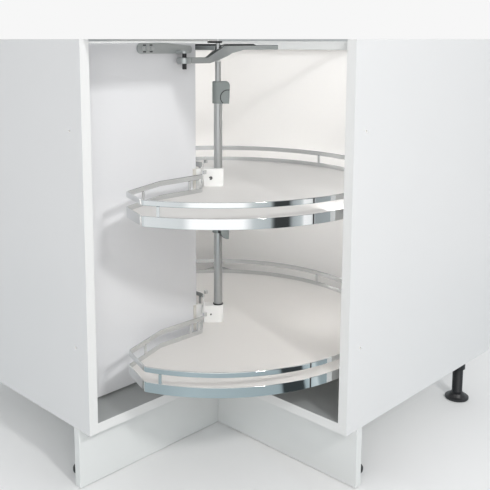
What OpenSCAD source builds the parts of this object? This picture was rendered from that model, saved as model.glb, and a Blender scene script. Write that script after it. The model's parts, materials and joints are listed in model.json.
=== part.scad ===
// Corner base unit with a turning carousel.
// Frame: origin on the floor at the middle of the 900 x 900 footprint, +Z up.
// The two walls are at -X and +Y, the room is towards +X and -Y.
// The carousel stands a quarter turn clockwise from closed, its fronts inside.

/* [Carcass] */
// Width of the unit along each wall
unit_w = 900; // [860:10:1050]
// Height of the carcass without its feet
carcass_h = 720; // [700:5:780]
// Depth of each leg, from the wall to the front edge of the panels
leg_depth = 568; // [560:1:580]
// Thickness of the side and bottom panels
panel_t = 19; // [16:1:19]
// Thickness of the back panels
back_t = 16; // [8:1:18]
// Height of the stretchers along the top of the walls
stretcher_h = 28; // [20:1:60]

/* [Plinth and feet] */
// Height of the feet, floor to carcass
foot_h = 120; // [100:5:160]
// Distance of the plinth face behind the front edge of the panels
plinth_setback = 35; // [20:1:50]
// Thickness of the plinth boards
plinth_t = 16; // [12:1:19]
// Gap between the plinth boards and the floor
plinth_gap = 1; // [0.5:0.5:5]
// Radius of the foot plates
foot_r = 27; // [22:1:32]
// Radius of the foot stems
foot_stem_r = 12; // [8:1:14]

/* [Carousel post] */
// Distance of the post behind the front edge planes of the panels
post_inset = 44; // [42:1:60]
// Outer radius of the lower tube
lower_tube_r = 9; // [8.5:0.5:12]
// Outer radius of the upper tube
upper_tube_r = 6.4; // [5.8:0.1:7]
// Wall of both tubes
tube_wall = 1.5; // [1:0.1:1.8]
// Distance of the coupling clamp's underside below the top of the carcass
coupling_drop = 133; // [120:1:160]
// Radius of the pivot pins in the two bearings
pivot_r = 4; // [3:0.5:4.5]

/* [Trays] */
// Gap between the trays' rim and the side panels
tray_gap = 7; // [5:1:40]
// Height of the lower tray's underside above the bottom panel
lower_tray_rise = 81.5; // [60:0.5:120]
// Distance between the trays
tray_spacing = 301; // [270:1:320]
// Thickness of the tray boards
board_t = 10; // [8:0.5:16]
// Height of the band round a tray
band_h = 19; // [17:0.5:30]
// Thickness of the band round a tray
band_t = 1.6; // [1:0.1:2.5]
// Height of the rail's lower edge above the tray's underside
rail_rise = 37; // [32:0.5:60]
// Height of the rail
rail_h = 10.3; // [6:0.1:16]
// Thickness of the rail
rail_t = 3; // [2:0.1:4]

/* [Fronts] */
// Thickness of the two fronts
front_t = 19; // [16:1:19]
// Gap between the end of a drawn-in front and the side panel beside it
front_end_gap = 20; // [20:1:60]
// Distance of the fronts' inner faces from the post axis, drawn in
front_in = 33; // [32:0.5:38]
// Gap under the fronts, above the bottom panel
front_floor_gap = 4; // [3:0.5:10]
// Gap above the fronts, to the top of the carcass
front_top_gap = 8; // [7:0.5:20]
// How far each front moves out to close flush with its neighbours
front_travel = 12; // [8:0.5:13]

/* [Fits] */
// Radial clearance of a running fit
run_fit = 0.05; // [0.02:0.01:0.1]
// Clearance between faces that only come close
face_gap = 0.3; // [0.2:0.1:0.6]

/* [Hidden] */
$fn = 64;
eps = 0.01;
half = unit_w / 2;
post_x = -half + leg_depth - post_inset;
floor_z = foot_h + panel_t;
top_z = foot_h + carcass_h;
front_edge = -half + leg_depth;
side_in = half - panel_t;
back_in = half - back_t;
side_reach = side_in - post_x;
tray_r = side_reach - tray_gap;
front_end = side_reach - front_end_gap;
coupling_z = top_z - coupling_drop;
lower_tray_z = floor_z + lower_tray_rise;
upper_tray_z = lower_tray_z + tray_spacing;
screw_r = 2.5;
screw_fit = 0.05;

// ---- placing helpers ----
// Puts children, drawn round the post axis, in place.
module at_post() translate([post_x, -post_x, 0]) children();
// Turns local x to the side away from the notch of the trays.
module along_notch() rotate(45) children();
// Mirrors children about the line that halves the corner.
module both_legs() { children(); other_leg() children(); }
module other_leg() mirror([1, 1, 0]) children();
// Mirrors children about the line that halves the notch.
module other_half() mirror([1, -1, 0]) children();

// ---- outline helpers ----
function unit(v) = v / norm(v);
function left_of(v) = [-v.y, v.x];
// Moves corner b of the run a, b, c to the left by d.
function inset_corner(a, b, c, d) = let(n1 = left_of(unit(b - a)), n2 = left_of(unit(c - b)))
  b + d * (n1 + n2) / (1 + n1 * n2);
// Replaces corner b by an arc that leaves both sides at a tangent.
function round_corner(a, b, c, r, steps = 8) =
  let(u = unit(a - b), v = unit(c - b), half_turn = acos(u * v) / 2,
    centre = b + unit(u + v) * r / sin(half_turn), run = r / tan(half_turn),
    from = b + u * run - centre, to = b + v * run - centre,
    start = atan2(from.y, from.x), turn = atan2(to.y, to.x) - start,
    sweep = turn > 180 ? turn - 360 : turn < -180 ? turn + 360 : turn)
  [for (i = [0:steps]) centre + r * [cos(start + sweep * i / steps), sin(start + sweep * i / steps)]];
function swap(p) = [p.y, p.x];

// ---- carcass ----
connector_z = 160;
connector_back = 37;
connector_x = front_edge - connector_back;
module side_panel_left() color("white")
  difference() {
    translate([-half, -half, foot_h]) cube([leg_depth, panel_t, carcass_h]);
    for (z = [foot_h + connector_z, top_z - connector_z])
      translate([connector_x, -half - 1, z]) rotate([-90, 0, 0]) cylinder(r = screw_r, h = panel_t + 2);
  }
module side_panel_right() color("white") other_leg() side_panel_left();

module leg_outline(edge, reach, back)
  polygon([[-back, -reach], [edge, -reach], [edge, -edge], [reach, -edge], [reach, back], [-back, back]]);

bearing_hole_r = 26;
module bearing_holes(r, h) at_post() along_notch() for (a = [45:90:315]) rotate(a)
  translate([bearing_hole_r, 0, 0]) cylinder(r = r, h = h);

module bottom_panel() color("whitesmoke") difference() {
  translate([0, 0, foot_h]) linear_extrude(panel_t) leg_outline(front_edge, side_in, back_in);
  translate([0, 0, floor_z - base_screw_l]) bearing_holes(screw_r + screw_fit, base_screw_l + 1);
}
module back_panel_left() color("white")
  translate([-half, -side_in, foot_h]) cube([back_t, side_in + half, carcass_h]);
module back_panel_right() color("white")
  translate([-back_in, back_in, foot_h]) cube([back_in + side_in, back_t, carcass_h]);

stretcher_t = 16;
module stretcher_right() color("whitesmoke")
  translate([-back_in, back_in - stretcher_t, top_z - stretcher_h])
    cube([back_in + side_in, stretcher_t, stretcher_h]);
module stretcher_left() color("whitesmoke")
  translate([-back_in, -side_in, top_z - stretcher_h])
    cube([stretcher_t, side_in + back_in - stretcher_t, stretcher_h]);

// ---- steel cross under the worktop, with the top bearing ----
cross_w = 30;
cross_t = 4;
worktop_pcd = 300;
worktop_hole_r = 2.5;
boss_r = 22;
module top_cross() color("silver") translate([0, 0, top_z - cross_t]) difference() {
  union() {
    translate([-back_in + stretcher_t, -post_x - cross_w / 2, 0])
      cube([back_in - stretcher_t + side_in, cross_w, cross_t]);
    translate([post_x - cross_w / 2, -side_in, 0])
      cube([cross_w, side_in + back_in - stretcher_t, cross_t]);
    at_post() cylinder(r = boss_r, h = cross_t);
  }
  at_post() {
    translate([0, 0, -1]) cylinder(r = pivot_r + screw_fit, h = cross_t + 2);
    for (a = [0:90:270]) rotate(a) translate([worktop_pcd / 2, 0, -1])
      cylinder(r = worktop_hole_r, h = cross_t + 2);
  }
}
bearing_flange_r = 9;
bearing_flange_t = 4;
bearing_toe_r = 3;
bearing_toe_x = -19;
top_pin_l = 60;
// Plate under the cross, drawn out to a toe over the notch.
module top_bearing() color([0.1, 0.1, 0.1]) at_post() along_notch()
  translate([0, 0, top_z - cross_t - bearing_flange_t]) linear_extrude(bearing_flange_t) difference() {
    hull() {
      circle(r = bearing_flange_r);
      translate([bearing_toe_x, 0]) circle(r = bearing_toe_r);
    }
    circle(r = pivot_r + screw_fit);
  }
module top_pin() color("silver") at_post() translate([0, 0, top_z - top_pin_l])
  cylinder(r = pivot_r, h = top_pin_l);

// ---- base bearing ----
bearing_plate_r = 36;
bearing_plate_t = 4;
bearing_boss_h = 12;
bearing_pin_h = 50;
base_screw_l = 14;
screw_head_r = 4.6;
screw_head_h = 2.8;
boss_z = floor_z + bearing_plate_t + bearing_boss_h;
module base_bearing() color("silver") difference() {
  at_post() translate([0, 0, floor_z]) {
    cylinder(r = bearing_plate_r, h = bearing_plate_t);
    cylinder(r1 = lower_tube_r + 8, r2 = lower_tube_r + 3, h = bearing_plate_t + bearing_boss_h);
    cylinder(r = pivot_r, h = bearing_plate_t + bearing_boss_h + bearing_pin_h);
  }
  translate([0, 0, floor_z - 1]) bearing_holes(screw_r + screw_fit, bearing_plate_t + 2);
}
module base_screws() color("silver") {
  translate([0, 0, floor_z - base_screw_l]) bearing_holes(screw_r, base_screw_l + bearing_plate_t + 1);
  translate([0, 0, floor_z + bearing_plate_t]) bearing_holes(screw_head_r, screw_head_h);
}

// ---- plinth and feet ----
plinth_face = front_edge - plinth_setback;
foot_inset = 50;
foot_back = 34;
foot_x = plinth_face - plinth_t - foot_back;
clip_h = 16;
module plinth_right() color("white") translate([plinth_face, -plinth_face, plinth_gap])
  cube([half - plinth_face, plinth_t, foot_h - plinth_gap - face_gap]);
module plinth_left() color("white") translate([plinth_face - plinth_t, -half, plinth_gap])
  cube([plinth_t, half - plinth_face + plinth_t, foot_h - plinth_gap - face_gap]);
module foot_places() {
  both_legs() {
    translate([foot_x, -half + foot_inset, 0]) children();
    translate([-half + foot_inset, -half + foot_inset, 0]) children();
  }
  translate([foot_x, -foot_x, 0]) children();
  translate([-half + foot_inset, half - foot_inset, 0]) children();
}
socket_h = 46;
socket_plate = 64;
module foot_sockets() color([0.12, 0.12, 0.13]) foot_places() difference() {
  union() {
    translate([-socket_plate / 2, -socket_plate / 2, foot_h - 4]) cube([socket_plate, socket_plate, 4]);
    translate([0, 0, foot_h - socket_h]) cylinder(r = foot_stem_r + 4, h = socket_h);
  }
  translate([0, 0, foot_h - socket_h - 1]) cylinder(r = foot_stem_r + run_fit, h = socket_h - 5);
}
module levelling_feet() color([0.12, 0.12, 0.13]) foot_places() {
  cylinder(r = foot_r, h = 6);
  translate([0, 0, 6]) cylinder(r1 = foot_r, r2 = foot_stem_r + 3, h = 8);
  cylinder(r = foot_stem_r, h = foot_h - 12);
}
clip_wall = 3;
module plinth_clips() color([0.12, 0.12, 0.13]) both_legs()
  translate([foot_x, -half + foot_inset, foot_h - socket_h - clip_h - 2]) difference() {
    union() {
      cylinder(r = foot_stem_r + clip_wall, h = clip_h);
      translate([0, -6, 0]) cube([plinth_face - plinth_t - foot_x, 12, clip_h]);
      translate([plinth_face - plinth_t - foot_x - 3, -15, 0]) cube([3, 30, clip_h]);
    }
    translate([0, 0, -1]) cylinder(r = foot_stem_r + run_fit, h = clip_h + 2);
  }

// ---- post ----
coupling_h = 46;
coupling_joint_z = coupling_z + coupling_h / 2;
post_foot_z = boss_z + face_gap;
tube_overlap = 40;
collar_h = 2;
tube_top_drop = 46;
upper_tube_top = top_z - tube_top_drop;
module lower_tube() color("silver") at_post() difference() {
  translate([0, 0, post_foot_z + 3]) cylinder(r = lower_tube_r, h = coupling_joint_z - post_foot_z - 3);
  translate([0, 0, post_foot_z]) cylinder(r = lower_tube_bore, h = coupling_joint_z);
}
lower_tube_bore = upper_tube_r + run_fit;
module base_bush() color([0.85, 0.85, 0.83]) at_post() difference() {
  union() {
    translate([0, 0, post_foot_z]) cylinder(r = lower_tube_r, h = 3);
    translate([0, 0, post_foot_z]) cylinder(r = lower_tube_bore - run_fit, h = bearing_pin_h - 6);
  }
  translate([0, 0, post_foot_z - 1]) cylinder(r = pivot_r + run_fit, h = bearing_pin_h + 2);
}
module upper_tube() color("silver") at_post() difference() {
  translate([0, 0, coupling_z - tube_overlap]) cylinder(r = upper_tube_r, h = upper_tube_top - coupling_z + tube_overlap);
  translate([0, 0, coupling_z - tube_overlap - 1])
    cylinder(r = upper_tube_r - tube_wall, h = upper_tube_top - coupling_z + tube_overlap + 2);
}
bush_in = 30;
module top_bush() color([0.85, 0.85, 0.83]) at_post() difference() {
  union() {
    translate([0, 0, upper_tube_top]) cylinder(r = upper_tube_r, h = collar_h);
    translate([0, 0, upper_tube_top - bush_in]) cylinder(r = upper_tube_r - tube_wall, h = bush_in + 1);
  }
  translate([0, 0, upper_tube_top - bush_in - 1]) cylinder(r = pivot_r + run_fit, h = bush_in + collar_h + 2);
}

// ---- clamps with a lever, one on the post and one under the upper tray ----
clamp_left = 12;
clamp_right = 25;
clamp_half_y = 12.5;
clamp_round = 9;
clamp_slant = 1.5;
lever_r = 15.5;
lever_x = 20.5;
lever_rise = 13;
lever_cheek = 3;
lever_seam = 0.5;
lever_pin_r = 1.5;
lever_web_top = 9;
lever_web_x = 11.5;
ear_reach = 3.6;
tray_clamp_cut = 10;
cheek_in = clamp_half_y - lever_cheek;
// The clamp seen from the room, x to the right, from height low up.
module clamp_side(low) polygon(concat([[-clamp_left, low], [clamp_right - clamp_slant, low]],
  round_corner([clamp_right - clamp_slant, low], [clamp_right, coupling_h], [0, coupling_h], clamp_round),
  round_corner([0, coupling_h], [-clamp_left, coupling_h], [-clamp_left, low], 2)));
module lever_disc(r) translate([lever_x, lever_rise]) circle(r = r);
// A flat shape stood up across the clamp, between half widths from and to.
module across(from, to) for (side = [0, 1]) mirror([0, side, 0])
  translate([0, to, 0]) rotate([90, 0, 0]) linear_extrude(to - from) children();
module clamp_body(z, low) color([0.5, 0.54, 0.53]) at_post() along_notch() translate([0, 0, z]) difference() {
  intersection() {
    across(0, clamp_half_y) clamp_side(low);
    linear_extrude(coupling_h) union() {
      circle(r = clamp_half_y);
      translate([0, -clamp_half_y]) square([clamp_right, 2 * clamp_half_y]);
    }
  }
  across(cheek_in - face_gap, clamp_half_y + 1) lever_disc(lever_r + lever_seam);
  across(0, cheek_in) intersection() {
    lever_disc(lever_r + lever_seam);
    union() {
      translate([lever_web_x - face_gap, -lever_r]) square([lever_r + clamp_right, lever_r + lever_web_top + face_gap]);
      translate([lever_x + ear_reach, -lever_r]) square([lever_r, 3 * lever_r]);
      difference() {
        translate([lever_x, -lever_r]) square([lever_r, lever_r + lever_rise]);
        lever_disc(ear_reach);
      }
    }
  }
}
module clamp_pin(z) at_post() along_notch() translate([lever_x, clamp_half_y, z + lever_rise])
  rotate([90, 0, 0]) cylinder(r = lever_pin_r, h = 2 * clamp_half_y);
module lever_profile(low) intersection() {
  lever_disc(lever_r);
  translate([-clamp_left, low]) square([clamp_left + clamp_right, 3 * lever_r]);
  polygon([[0, -lever_r], [clamp_right - clamp_slant - 1, -lever_r], [clamp_right, coupling_h], [0, coupling_h]]);
}
module lever_body(z, low) color([0.45, 0.49, 0.48]) at_post() along_notch() translate([0, 0, z]) difference() {
  union() {
    across(cheek_in, clamp_half_y) lever_profile(low);
    across(0, cheek_in + eps) intersection() {
      lever_profile(low);
      translate([lever_web_x, -lever_r]) square([clamp_right, lever_r + lever_web_top]);
    }
  }
  translate([lever_x, clamp_half_y + 1, lever_rise]) rotate([90, 0, 0])
    cylinder(r = lever_pin_r + run_fit, h = 2 * clamp_half_y + 2);
}
module coupling_clamp() {
  difference() {
    clamp_body(coupling_z, 0);
    at_post() translate([0, 0, coupling_z - 1])
      cylinder(r = lower_tube_r + run_fit, h = coupling_joint_z - coupling_z + 1 + eps);
    at_post() translate([0, 0, coupling_z]) cylinder(r = upper_tube_r + run_fit, h = coupling_h + 1);
  }
  color("silver") clamp_pin(coupling_z);
}
module coupling_lever() lever_body(coupling_z, 0);
tray_clamp_drop = 56;
tray_clamp_z = upper_tray_z - tray_clamp_drop - coupling_h;
sleeve_wall = 2.5;
module tray_clamp() {
  difference() {
    clamp_body(tray_clamp_z, tray_clamp_cut);
    at_post() translate([0, 0, tray_clamp_z - 1]) cylinder(r = lower_tube_r + run_fit, h = coupling_h + 2);
  }
  color("silver") clamp_pin(tray_clamp_z);
}
module tray_lever() lever_body(tray_clamp_z, -lever_r);
module tray_sleeve() color([0.5, 0.54, 0.53]) at_post() difference() {
  translate([0, 0, tray_clamp_z + coupling_h])
    cylinder(r = lower_tube_r + sleeve_wall, h = tray_clamp_drop);
  translate([0, 0, tray_clamp_z]) cylinder(r = lower_tube_r + run_fit, h = coupling_h + tray_clamp_drop + 1);
}

// ---- tray outline: a disc with the notch that clears the fronts ----
// Distance from the fronts' inner faces to the straight edge, at its start and at its waist.
edge_in = 60;
waist_in = 57;
apex_reach = 75;
waist_share = 0.534;
shoulder_share = [0.169, -0.846];
corner_share = [0.394, -0.92];
apex_end = [edge_in - front_in, -apex_reach];
waist = [waist_in - front_in, -waist_share * tray_r];
shoulder = shoulder_share * tray_r;
rim_corner = corner_share * tray_r;
bend_r = 14;
apex_dist = -(apex_end.x + apex_end.y) / sqrt(2);
rim_bend_r = 10;
edge_run = unit(rim_corner - shoulder);
rim_steps = 5;
// Points of the bend where the straight edge meets the rim, moved inwards by d.
function rim_bend(d) = let(n = left_of(edge_run), q = shoulder + n * rim_bend_r, along = q * edge_run,
    reach = tray_r - rim_bend_r, centre = q + edge_run * (sqrt(along * along - q * q + reach * reach) - along),
    start = atan2(-n.y, -n.x), sweep = atan2(centre.y, centre.x) - start)
  [for (i = [0:rim_steps]) let(a = start + sweep * i / rim_steps) centre + (rim_bend_r - d) * [cos(a), sin(a)]];
// One side of the notch, from its apex out past the rim, moved inwards by d.
function notch_side(d) =
  let(apex = inset_corner(swap(apex_end), apex_end, waist, d), mid = inset_corner(apex_end, waist, shoulder, d),
    low = inset_corner(waist, shoulder, rim_corner, d), rim = rim_bend(d),
    outward = rim[rim_steps] + unit(rim[rim_steps] - rim[rim_steps - 1]) * tray_r)
  concat(round_corner(swap(apex), apex, mid, bend_r + d), round_corner(apex, mid, low, bend_r - d),
    round_corner(mid, low, rim[0], bend_r - d), [for (i = [0:rim_steps - 1]) rim[i]], [outward]);
function reversed(p) = [for (i = [len(p) - 1:-1:0]) p[i]];
module tray_outline(d) intersection() {
  circle(r = tray_r - d, $fn = 180);
  polygon(concat(notch_side(d), [[2 * tray_r, 2 * tray_r]], reversed([for (p = notch_side(d)) swap(p)])));
}
module ring(t) difference() { tray_outline(0); tray_outline(t); }

module tray_board(z) color([0.93, 0.93, 0.91]) at_post() difference() {
  translate([0, 0, z]) linear_extrude(board_t) tray_outline(band_t + screw_fit);
  translate([0, 0, z - 1]) cylinder(r = lower_tube_r + 1, h = board_t + 2);
}
module tray_band(z) color([0.75, 0.78, 0.8]) at_post() translate([0, 0, z]) linear_extrude(band_h) ring(band_t);
module tray_rail(z) color([0.82, 0.84, 0.85]) at_post() translate([0, 0, z + rail_rise]) linear_extrude(rail_h)
  ring(rail_t);
// Spacers stand on the band and carry the rail.
spacer_w = 6;
spacer_t = 2.6;
spacer_in = 0.2;
rim_spacer_at = [-62, 0, 45, 90, 152];
edge_spacer_at = [0.1, 0.3];
module spacer(z) translate([-spacer_t - spacer_in, -spacer_w / 2, z + band_h])
  cube([spacer_t, spacer_w, rail_rise - band_h]);
module edge_spacer(p, q, share, z) let(u = unit(q - p), m = p + (q - p) * share)
  translate(m) rotate(atan2(u.y, u.x) - 90) spacer(z);
module tray_spacers(z) color([0.82, 0.84, 0.85]) at_post() {
  for (a = rim_spacer_at) rotate(a) translate([tray_r, 0, 0]) spacer(z);
  for (side = [0, 1]) mirror([side, -side, 0]) {
    for (share = edge_spacer_at) edge_spacer(apex_end, waist, share, z);
    edge_spacer(waist, shoulder, 0.5, z);
  }
}
// Round nuts on the rail, where it turns towards the hub.
stud_r = 4.4;
stud_h = 8;
module rail_studs(z) color([0.8, 0.8, 0.78]) at_post() for (side = [0, 1]) mirror([side, -side, 0])
  translate([apex_end.x + stud_r, apex_end.y + stud_r, z + rail_rise + rail_h]) cylinder(r = stud_r, h = stud_h);

// ---- hub brackets: white casting round the post, out to the apex of the tray ----
hub_h = 38;
hub_r = 12;
hub_tip = apex_dist - rail_t - screw_fit;
hub_screw_x = -15.5;
screw_sink_r = 4;
screw_sink = 3;
guide_r = 2.5;
guide_gap = 0.5;
guide_rise = band_h - board_t + guide_r + guide_gap;
hub_screw_rise = guide_rise + guide_r + screw_r + 2 * guide_gap;
module hub_bracket(z) color([0.9, 0.9, 0.88]) at_post() along_notch() translate([0, 0, z + board_t]) difference() {
  union() {
    cylinder(r = hub_r, h = hub_h);
    translate([-hub_tip, -hub_r, 0]) cube([hub_tip, 2 * hub_r, hub_h]);
  }
  translate([0, 0, -1]) cylinder(r = lower_tube_r + run_fit, h = hub_h + 2);
  translate([hub_screw_x, hub_r + 1, hub_screw_rise]) rotate([90, 0, 0])
    cylinder(r = screw_r + screw_fit, h = 2 * hub_r + 2);
  translate([hub_screw_x, -hub_r + screw_sink, hub_screw_rise]) rotate([90, 0, 0])
    cylinder(r = screw_sink_r + screw_fit, h = screw_sink + 1);
  translate([-hub_tip - 1, 0, guide_rise]) rotate([0, 90, 0])
    cylinder(r = guide_r + run_fit, h = hub_tip - lower_tube_r);
}
module lower_hub_bracket() hub_bracket(lower_tray_z);
module upper_hub_bracket() hub_bracket(upper_tray_z);
module hub_screw(z) color("silver") at_post() along_notch()
  translate([hub_screw_x, -hub_r, z + board_t + hub_screw_rise]) rotate([-90, 0, 0]) difference() {
    union() {
      translate([0, 0, screw_head_sunk]) cylinder(r = screw_sink_r, h = screw_sink - screw_head_sunk);
      translate([0, 0, screw_head_sunk]) cylinder(r = screw_r, h = 2 * hub_r - screw_head_sunk);
    }
    translate([0, 0, screw_head_sunk - 1]) cylinder(r = socket_r, h = screw_sink, $fn = 6);
  }
screw_head_sunk = 0.5;
socket_r = 2.2;
module lower_hub_screw() hub_screw(lower_tray_z);
module upper_hub_screw() hub_screw(upper_tray_z);
ring_t = 2.5;
ring_wall = 2;
module hub_ring() color([0.15, 0.15, 0.16]) at_post() translate([0, 0, lower_tray_z + board_t + hub_h]) difference() {
  cylinder(r = lower_tube_r + ring_wall, h = ring_t);
  translate([0, 0, -1]) cylinder(r = lower_tube_r + run_fit, h = ring_t + 2);
}

// ---- fronts ----
front_z = floor_z + front_floor_gap;
front_h = top_z - front_top_gap - front_z;
front_out = front_in + front_t;
mitre = 0.3;
module front_left() color("white") at_post() translate([0, 0, front_z]) linear_extrude(front_h)
  polygon([[-front_in, -front_in - mitre], [-front_out, -front_out - mitre],
    [-front_out, -front_end], [-front_in, -front_end]]);
module front_right() color("white") other_front() front_left();
module other_front() at_post() other_half() translate([-post_x, post_x, 0]) children();

// ---- brackets that tie the fronts to the trays ----
bracket_h = 57;
bracket_drop = 10;
bracket_short = 10;
bracket_long = 34;
bracket_t = 3;
block_w = 10;
bracket_gap = 1.5;
bracket_tip = apex_dist + bracket_gap;
bracket_corner = (front_in - bracket_t) * sqrt(2);
module front_bracket(z) color([0.82, 0.8, 0.75]) at_post() translate([0, 0, z - bracket_drop]) difference() {
  linear_extrude(bracket_h) polygon([[-front_in, -front_in], [-front_in, -front_in - bracket_short],
    [-front_in + bracket_t, -front_in - bracket_short], [-front_in + bracket_t, -front_in + bracket_t],
    [-front_in - bracket_long, -front_in + bracket_t], [-front_in - bracket_long, -front_in]]);
  bracket_screws_at(screw_r + screw_fit, bracket_t + 2, bracket_t + 1);
}
module lower_front_bracket() front_bracket(lower_tray_z);
module upper_front_bracket() front_bracket(upper_tray_z);
// White block on the bracket's corner, which meets the apex of the tray.
module guide_block(z) at_post() along_notch() translate([0, 0, z - bracket_drop])
  linear_extrude(bracket_h) polygon([[-bracket_tip, -block_w / 2], [-bracket_tip, block_w / 2],
    [-bracket_corner - block_w / 2, block_w / 2], [-bracket_corner, 0], [-bracket_corner - block_w / 2, -block_w / 2]]);
module lower_guide_block() color([0.9, 0.9, 0.88]) {
  guide_block(lower_tray_z);
  at_post() along_notch() translate([-bracket_tip - 1, 0, lower_tray_z + board_t + guide_rise]) rotate([0, 90, 0])
    cylinder(r = guide_r, h = bracket_tip - lower_tube_r - 1.5);
}
module upper_guide_block() color([0.9, 0.9, 0.88]) guide_block(upper_tray_z);
bracket_screw_rise = [10, 47];
bracket_screw_end = 9;
bracket_head_r = 4;
bracket_head_h = 2;
module bracket_screws_at(r, h, from) for (rise = bracket_screw_rise)
  translate([-front_in - bracket_long + bracket_screw_end, -front_in + from, rise]) rotate([90, 0, 0])
    cylinder(r = r, h = h);
module bracket_screws() color("silver") at_post() for (z = [lower_tray_z, upper_tray_z])
  translate([0, 0, z - bracket_drop]) {
    bracket_screws_at(screw_r, bracket_t, bracket_t);
    bracket_screws_at(bracket_head_r, bracket_head_h, bracket_t + bracket_head_h);
  }

// ---- link bars on the fronts and the arm over the post ----
link_h = 21;
link_low = top_z - 28.5;
link_far = 190;
link_near = 46;
link_neck = 120;
link_toe = 15;
link_chamfer = 4;
link_t = 3;
pin_x = -15;
pin_y = -81;
link_pin_r = 4.5;
lug_r = 9;
lug_t = 5;
link_head_r = 4;
link_head_h = 2;
module link_profile() union() {
  translate([-link_far + link_h / 2, link_h / 2]) circle(r = link_h / 2);
  polygon([[-link_far + link_h / 2, 0], [-link_far + link_h / 2, link_h], [-link_neck, link_h],
    [-link_near - link_chamfer, link_toe], [-link_near, link_toe - link_chamfer], [-link_near, link_chamfer],
    [-link_near - link_chamfer, 0]]);
}
link_screw_y = [-176, -164, -152];
module link_screws_at(r, h, from) for (y = link_screw_y) translate([-front_in + from, y, link_low + link_h / 2])
  rotate([0, -90, 0]) cylinder(r = r, h = h);
module link_bar() difference() {
  union() {
    translate([-front_in, 0, link_low]) rotate([90, 0, 90]) linear_extrude(link_t) link_profile();
    translate([-front_in, pin_y - lug_r, link_low]) cube([pin_x + front_in, 2 * lug_r, lug_t]);
    translate([pin_x, pin_y, link_low]) cylinder(r = lug_r, h = lug_t);
  }
  translate([pin_x, pin_y, link_low - 1]) cylinder(r = link_pin_r + run_fit, h = lug_t + 2);
  link_screws_at(screw_r + screw_fit, link_t + 2, link_t + 1);
}
module link_bar_left() color([0.6, 0.63, 0.64]) at_post() link_bar();
module link_bar_right() color([0.6, 0.63, 0.64]) at_post() other_half() link_bar();
module link_screws() color([0.25, 0.25, 0.26]) at_post() for (side = [0, 1]) mirror([side, -side, 0]) {
  link_screws_at(screw_r, link_t, link_t);
  link_screws_at(link_head_r, link_head_h, link_t + link_head_h);
}
pin_drop = 37;
module link_pins() color([0.08, 0.08, 0.08]) at_post() for (side = [0, 1]) mirror([side, -side, 0])
  translate([pin_x, pin_y, link_low + lug_t - pin_drop]) cylinder(r = link_pin_r, h = pin_drop);

// The arm: an eye round each pin, a bar that climbs over the post and a tail beyond it.
// Its side is drawn along the bar, from the post at 0, with heights below the top of the carcass.
eye_low = -49;
eye_high = -37;
eye_r = 15;
arm_high = -10;
arm_low = -22.5;
arm_w = 12;
rise_start = -29;
rise_end = 8;
belly = [[-24, -49], [-4, -42], [26, -29], [59, -22.5]];
cast_end = 96;
shelf = 3;
shelf_len = 9;
groove_from = -66;
groove_w = 6;
groove_d = 4;
// The second arm stays high and drops to its eye behind the fronts.
far_drop = 62;
far_wall = 8;
arm_reach = 155;
tenon_l = 16;
tenon_r = 3;
arm_wall = 3.4;
arm_angle = atan2(-pin_y, -pin_x);
arm_run = norm([pin_x, pin_y]);
slot_len = front_travel * sqrt(2);
slot_clear = 0.6;
arm_hub_r = pivot_r + slot_clear + arm_wall;
module along_arm() rotate(arm_angle) children();
// A slot drawn out along the notch, as far as the fronts travel.
module notch_slot(r) along_notch() {
  circle(r = r);
  translate([slot_len, 0]) circle(r = r);
  translate([0, -r]) square([slot_len, 2 * r]);
}
module arm_side() polygon(concat([[-arm_run - eye_r, eye_high], [-arm_run - eye_r, eye_low]], belly,
  [[cast_end, arm_low], [cast_end, arm_high - shelf], [cast_end - shelf_len, arm_high], [rise_end + 14, arm_high],
   [rise_end, arm_high - shelf], [rise_start, eye_high]]));
module far_arm_side() polygon([[-arm_run - eye_r, eye_high], [-arm_run - eye_r, eye_low], [-far_drop, eye_low],
  [-far_drop, arm_low], [0, arm_low], [0, arm_high], [-far_drop - far_wall, arm_high],
  [-far_drop - far_wall, eye_high]]);
module arm_groove() polygon([[groove_from, eye_high - groove_d], [rise_start, eye_high - groove_d],
  [rise_end, arm_high - shelf - groove_d], [rise_end, 0], [groove_from, 0]]);
module arm_plate(w) translate([0, 0, top_z]) along_arm() rotate([90, 0, 0]) linear_extrude(w, center = true)
  children();
module over_all() translate([0, 0, top_z + eye_low]) linear_extrude(-eye_low) children();
module arm_bar() along_arm() {
  translate([-arm_run, 0]) circle(r = eye_r);
  translate([-arm_run, -arm_w / 2]) square([arm_run, arm_w]);
}
module retract_arm() color([0.66, 0.68, 0.69]) at_post() difference() {
  union() {
    intersection() {
      arm_plate(2 * (slot_len + arm_hub_r)) arm_side();
      over_all() {
        arm_bar();
        for (end = [rise_start, cast_end - arm_wall]) hull() {
          notch_slot(arm_hub_r, $fn = 32);
          along_arm() translate([end, -arm_w / 2]) square([arm_wall, arm_w]);
        }
      }
    }
    other_half() intersection() {
      arm_plate(2 * eye_r) far_arm_side();
      over_all() arm_bar();
    }
  }
  arm_plate(groove_w) arm_groove();
  for (side = [0, 1]) mirror([side, -side, 0]) translate([pin_x, pin_y, 0])
    cylinder(r = link_pin_r + run_fit, h = top_z);
  linear_extrude(top_z) notch_slot(pivot_r + slot_clear);
  arm_tenon(screw_fit);
}
module arm_tenon(gap) translate([0, 0, top_z + (arm_low + arm_high - shelf) / 2]) along_arm()
  translate([cast_end - tenon_l - gap, 0, 0]) rotate([0, 90, 0]) cylinder(r = tenon_r + gap, h = tenon_l + 2 * gap);
module arm_tail() color([0.55, 0.57, 0.58]) at_post() {
  arm_tenon(0);
  translate([0, 0, top_z]) along_arm() translate([cast_end, -arm_w / 2, arm_low])
    cube([arm_reach - cast_end, arm_w, arm_high - shelf - arm_low]);
}

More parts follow.
